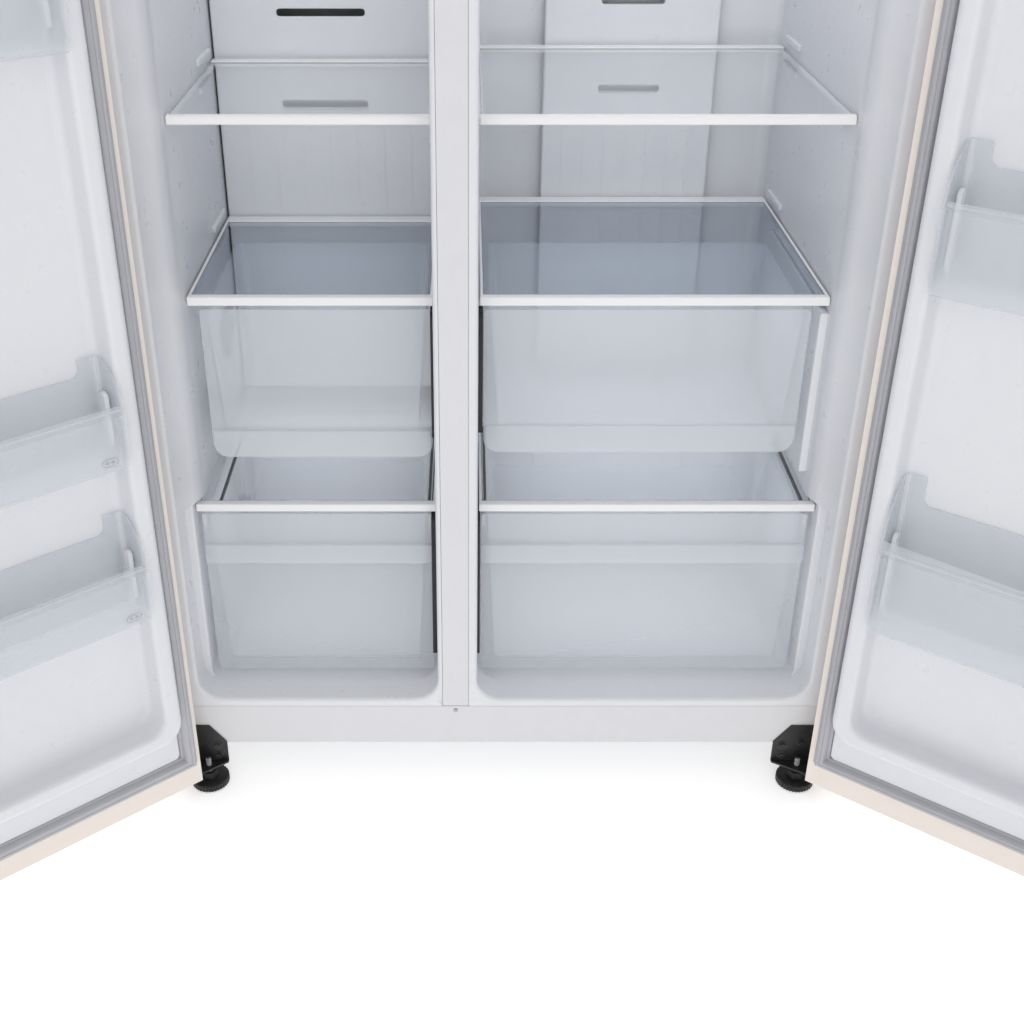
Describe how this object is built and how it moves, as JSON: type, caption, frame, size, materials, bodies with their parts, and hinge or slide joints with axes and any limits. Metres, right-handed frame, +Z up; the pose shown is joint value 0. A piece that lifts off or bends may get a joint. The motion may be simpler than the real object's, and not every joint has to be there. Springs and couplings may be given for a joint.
{
  "type": "side by side refrigerator",
  "caption": "Tall freezer and refrigerator cabinet with two hinged doors standing open, clear drawers, glass shelves, door bins, and a machine room at its lower back.",
  "frame": {"origin": "on the floor under the middle of the footprint with both doors open at rest", "axes": "+X to the right seen from the front, +Y towards the back of the case, +Z up"},
  "size_m": [1.654, 0.997, 1.79],
  "materials": {
    "cream_steel": "satin powder coat",
    "white_steel": "satin powder coat",
    "white_plastic": "semi-gloss moulded",
    "trim_plastic": "semi-gloss moulded",
    "gasket": "matte",
    "clear_plastic": "clear polished",
    "shelf_glass": "polished",
    "foam": "matte foam",
    "zinc_steel": "galvanised",
    "black_steel": "satin black",
    "black_plastic": "matte moulded",
    "copper_tube": "drawn tube",
    "aluminium_fins": "mill finish"
  },
  "bodies": {
    "cabinet": {"base_front_panel": "white_steel", "base_tray": "zinc_steel", "cabinet_shell": "cream_steel", "compressor": "black_steel", "condenser_coil": "copper_tube", "condenser_fan_shroud": "black_plastic", "drain_pan": "black_plastic", "evaporator": "aluminium_fins", "freezer_duct_cover": "white_plastic", "freezer_liner": "white_plastic", "freezer_lower_shelf_frame": "trim_plastic", "freezer_lower_shelf_glass": "shelf_glass", "freezer_shelf_2_glass": "shelf_glass", "freezer_shelf_3_glass": "shelf_glass", "freezer_shelf_4_glass": "shelf_glass", "freezer_upper_shelf_frame": "trim_plastic", "freezer_upper_shelf_glass": "shelf_glass", "fridge_duct_cover": "white_plastic", "fridge_liner": "white_plastic", "fridge_lower_shelf_frame": "trim_plastic", "fridge_lower_shelf_glass": "shelf_glass", "fridge_shelf_2_glass": "shelf_glass", "fridge_shelf_3_glass": "shelf_glass", "fridge_shelf_4_glass": "shelf_glass", "fridge_upper_shelf_frame": "trim_plastic", "fridge_upper_shelf_glass": "shelf_glass", "insulation_foam": "foam", "lower_hinge_left": "black_steel", "lower_hinge_right": "black_steel", "machine_room_cover": "zinc_steel", "mullion_cover": "white_steel", "rear_panel": "zinc_steel", "upper_hinge_cover_left": "white_plastic", "upper_hinge_cover_right": "white_plastic", "upper_hinge_left": "zinc_steel", "upper_hinge_right": "zinc_steel"},
    "freezer_door": {"freezer_door_bin_lower": "clear_plastic", "freezer_door_bin_middle": "clear_plastic", "freezer_door_bin_upper": "clear_plastic", "freezer_door_gasket": "gasket", "freezer_door_insulation": "foam", "freezer_door_liner": "white_plastic", "freezer_door_panel": "cream_steel"},
    "fridge_door": {"fridge_door_bin_lower": "clear_plastic", "fridge_door_bin_middle": "clear_plastic", "fridge_door_bin_upper": "clear_plastic", "fridge_door_gasket": "gasket", "fridge_door_insulation": "foam", "fridge_door_liner": "white_plastic", "fridge_door_panel": "cream_steel"},
    "condenser_fan": {"condenser_fan": "black_plastic"},
    "evaporator_fan": {"evaporator_fan": "black_plastic"},
    "freezer_lower_drawer": {"freezer_lower_drawer": "clear_plastic"},
    "freezer_upper_drawer": {"freezer_upper_drawer": "clear_plastic"},
    "fridge_lower_drawer": {"fridge_lower_drawer": "clear_plastic"},
    "fridge_upper_drawer": {"fridge_upper_drawer": "clear_plastic"},
    "levelling_foot_left": {"levelling_foot_left": "black_plastic"},
    "levelling_foot_right": {"levelling_foot_right": "black_plastic"},
    "rear_roller_left": {"rear_roller_left": "black_plastic"},
    "rear_roller_right": {"rear_roller_right": "black_plastic"}
  },
  "joints": [
    {"name": "freezer_door_hinge", "type": "hinge", "parent": "cabinet", "child": "freezer_door", "pos_m": [-0.50618, -0.16049, 0.035], "axis": [0, 0, -1], "range_deg": [-140, 0]},
    {"name": "fridge_door_hinge", "type": "hinge", "parent": "cabinet", "child": "fridge_door", "pos_m": [0.38782, -0.16049, 0.035], "axis": [0, 0, 1], "range_deg": [-143, 0]},
    {"name": "freezer_upper_drawer_slide", "type": "slide", "parent": "cabinet", "child": "freezer_upper_drawer", "axis": [0, -1, 0], "range_m": [0, 0.24]},
    {"name": "freezer_lower_drawer_slide", "type": "slide", "parent": "cabinet", "child": "freezer_lower_drawer", "axis": [0, -1, 0], "range_m": [0, 0.2]},
    {"name": "fridge_upper_drawer_slide", "type": "slide", "parent": "cabinet", "child": "fridge_upper_drawer", "axis": [0, -1, 0], "range_m": [0, 0.24]},
    {"name": "fridge_lower_drawer_slide", "type": "slide", "parent": "cabinet", "child": "fridge_lower_drawer", "axis": [0, -1, 0], "range_m": [0, 0.2]},
    {"name": "levelling_foot_left_turn", "type": "hinge", "parent": "cabinet", "child": "levelling_foot_left", "pos_m": [-0.48278, -0.13349, 0], "axis": [0, 0, 1], "continuous": true},
    {"name": "levelling_foot_right_turn", "type": "hinge", "parent": "cabinet", "child": "levelling_foot_right", "pos_m": [0.36442, -0.13349, 0], "axis": [0, 0, 1], "continuous": true},
    {"name": "rear_roller_left_roll", "type": "hinge", "parent": "cabinet", "child": "rear_roller_left", "pos_m": [-0.41918, 0.45351, 0.02], "axis": [1, 0, 0], "continuous": true},
    {"name": "rear_roller_right_roll", "type": "hinge", "parent": "cabinet", "child": "rear_roller_right", "pos_m": [0.30082, 0.45351, 0.02], "axis": [1, 0, 0], "continuous": true},
    {"name": "condenser_fan_spin", "type": "hinge", "parent": "cabinet", "child": "condenser_fan", "pos_m": [-0.15818, 0.38851, 0.165], "axis": [1, 0, 0], "continuous": true},
    {"name": "evaporator_fan_spin", "type": "hinge", "parent": "cabinet", "child": "evaporator_fan", "pos_m": [-0.30918, 0.34351, 0.87], "axis": [0, 1, 0], "continuous": true}
  ]
}
